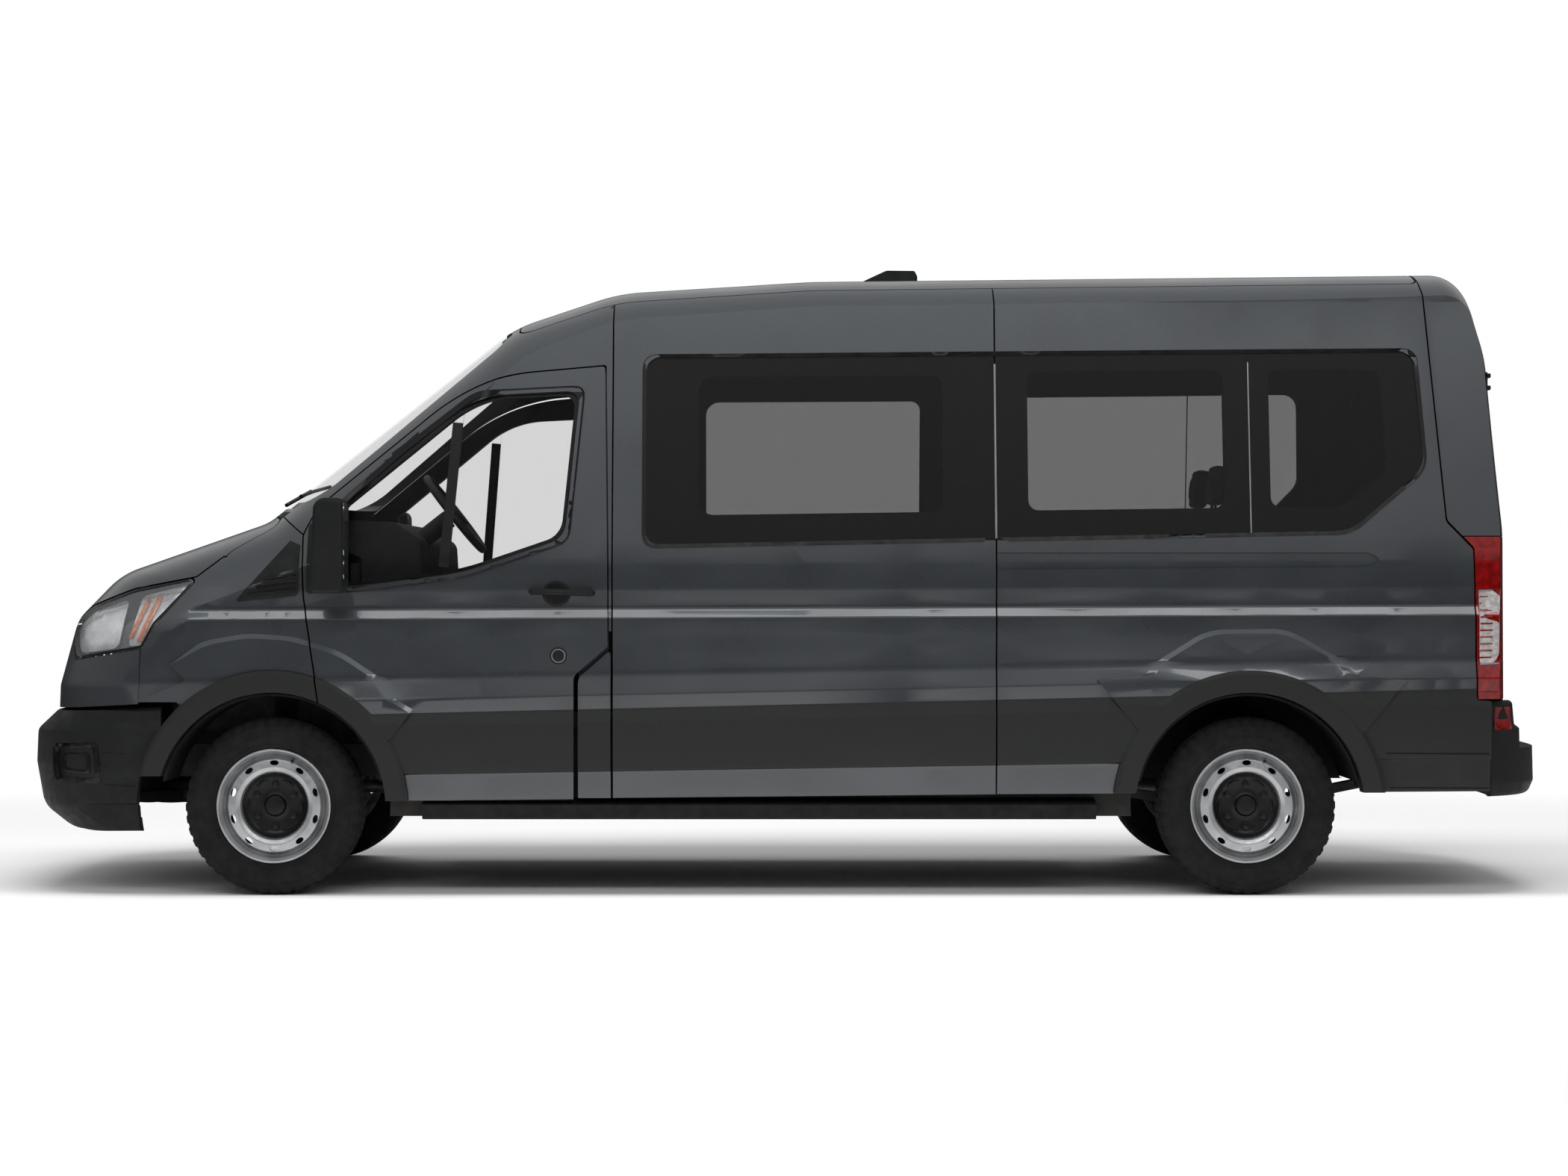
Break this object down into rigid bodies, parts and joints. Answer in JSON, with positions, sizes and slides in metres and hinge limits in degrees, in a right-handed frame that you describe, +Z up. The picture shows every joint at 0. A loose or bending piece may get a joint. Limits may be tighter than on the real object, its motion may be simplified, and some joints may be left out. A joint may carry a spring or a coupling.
{
  "type": "passenger van",
  "caption": "Long passenger van with a sloping nose, tinted side windows, hinged front doors, bonnet and twin rear doors, steered front wheels and benches inside.",
  "frame": {"origin": "on the ground under the middle of the whole van", "axes": "+X to the rear of the van, +Y to its right side, +Z up"},
  "size_m": [5.9806, 2.474, 2.4938],
  "materials": {
    "body_paint": "satin metallic dark grey paint",
    "dark_cladding": "grained black plastic",
    "tinted_glass": "dark tinted glass",
    "clear_glass": "clear glass",
    "lamp_clear": "clear lamp cover",
    "lamp_red": "red lamp lens",
    "silver_wheel": "silver painted steel",
    "tyre_rubber": "matte rubber",
    "chassis_black": "satin black frame paint",
    "bare_steel": "dull machined steel",
    "cast_grey": "cast metal",
    "inner_plastic": "dark interior plastic",
    "wheel_leather": "black steering wheel cover",
    "seat_fabric": "dark woven seat cloth"
  },
  "bodies": {
    "van": {"left_side_panel": "body_paint", "sliding_door": "body_paint", "left_quarter_panel": "body_paint", "right_quarter_panel": "body_paint", "side_glass": "tinted_glass", "left_fender": "body_paint", "right_fender": "body_paint", "cab_frame": "body_paint", "windscreen": "clear_glass", "cowl_panel": "dark_cladding", "headlamps": "lamp_clear", "front_fascia": "body_paint", "grille": "dark_cladding", "front_bumper": "dark_cladding", "rear_bumper": "dark_cladding", "roof_panel": "body_paint", "rear_frame": "body_paint", "tail_lamps": "lamp_red", "antenna": "dark_cladding", "floor_pan": "chassis_black", "side_skirts": "dark_cladding", "chassis_rails": "chassis_black", "wheel_liners": "dark_cladding", "front_suspension": "chassis_black", "rear_axle": "chassis_black", "drive_shaft": "bare_steel", "exhaust": "bare_steel", "fuel_tank": "inner_plastic", "engine_block": "cast_grey", "dashboard": "inner_plastic", "front_seats": "seat_fabric", "rear_benches": "seat_fabric"},
    "left_front_door": {"left_front_door": "body_paint", "left_front_door_glass": "clear_glass", "left_mirror": "dark_cladding"},
    "right_front_door": {"right_front_door": "body_paint", "right_front_door_glass": "clear_glass", "right_mirror": "dark_cladding"},
    "bonnet": {"bonnet": "body_paint"},
    "left_rear_door": {"left_rear_door": "body_paint", "left_rear_door_glass": "tinted_glass"},
    "right_rear_door": {"right_rear_door": "body_paint", "right_rear_door_glass": "tinted_glass"},
    "left_knuckle": {"left_knuckle": "bare_steel"},
    "right_knuckle": {"right_knuckle": "bare_steel"},
    "steering_wheel": {"steering_wheel": "wheel_leather"},
    "front_left_wheel": {"front_left_tyre": "tyre_rubber", "front_left_rim": "silver_wheel"},
    "front_right_wheel": {"front_right_tyre": "tyre_rubber", "front_right_rim": "silver_wheel"},
    "rear_left_wheel": {"rear_left_tyre": "tyre_rubber", "rear_left_rim": "silver_wheel"},
    "rear_right_wheel": {"rear_right_tyre": "tyre_rubber", "rear_right_rim": "silver_wheel"}
  },
  "joints": [
    {"name": "left_front_door_hinge", "type": "hinge", "parent": "van", "child": "left_front_door", "pos_m": [-1.8045, -1.033, 0.9], "axis": [0, 0, -1], "range_deg": [0, 68]},
    {"name": "right_front_door_hinge", "type": "hinge", "parent": "van", "child": "right_front_door", "pos_m": [-1.8045, 1.033, 0.9], "axis": [0, 0, 1], "range_deg": [0, 68]},
    {"name": "bonnet_hinge", "type": "hinge", "parent": "van", "child": "bonnet", "pos_m": [-1.9585, 0, 1.49], "axis": [0, 1, 0], "range_deg": [0, 55]},
    {"name": "left_rear_door_hinge", "type": "hinge", "parent": "van", "child": "left_rear_door", "pos_m": [2.8345, -0.872, 1.4], "axis": [0, 0, -1], "range_deg": [0, 180]},
    {"name": "right_rear_door_hinge", "type": "hinge", "parent": "van", "child": "right_rear_door", "pos_m": [2.8345, 0.872, 1.4], "axis": [0, 0, 1], "range_deg": [0, 180]},
    {"name": "left_steer", "type": "hinge", "parent": "van", "child": "left_knuckle", "pos_m": [-1.9675, -0.79, 0.342], "axis": [0, 0, 1], "range_deg": [-35, 35]},
    {"name": "right_steer", "type": "hinge", "parent": "van", "child": "right_knuckle", "pos_m": [-1.9675, 0.79, 0.342], "axis": [0, 0, 1], "range_deg": [-35, 35]},
    {"name": "front_left_wheel_spin", "type": "hinge", "parent": "left_knuckle", "child": "front_left_wheel", "pos_m": [-1.9675, -0.866, 0.342], "axis": [0, 1, 0], "continuous": true},
    {"name": "front_right_wheel_spin", "type": "hinge", "parent": "right_knuckle", "child": "front_right_wheel", "pos_m": [-1.9675, 0.866, 0.342], "axis": [0, 1, 0], "continuous": true},
    {"name": "rear_left_wheel_spin", "type": "hinge", "parent": "van", "child": "rear_left_wheel", "pos_m": [1.7825, -0.866, 0.342], "axis": [0, 1, 0], "continuous": true},
    {"name": "rear_right_wheel_spin", "type": "hinge", "parent": "van", "child": "rear_right_wheel", "pos_m": [1.7825, 0.866, 0.342], "axis": [0, 1, 0], "continuous": true},
    {"name": "steering_wheel_turn", "type": "hinge", "parent": "van", "child": "steering_wheel", "pos_m": [-1.3175, -0.43, 1.478], "axis": [0.788, 0, 0.6157], "range_deg": [-490, 490]}
  ],
  "couplings": [
    {"joint": "right_steer", "follows": "left_steer", "ratio": 1},
    {"joint": "steering_wheel_turn", "follows": "left_steer", "ratio": 14}
  ]
}
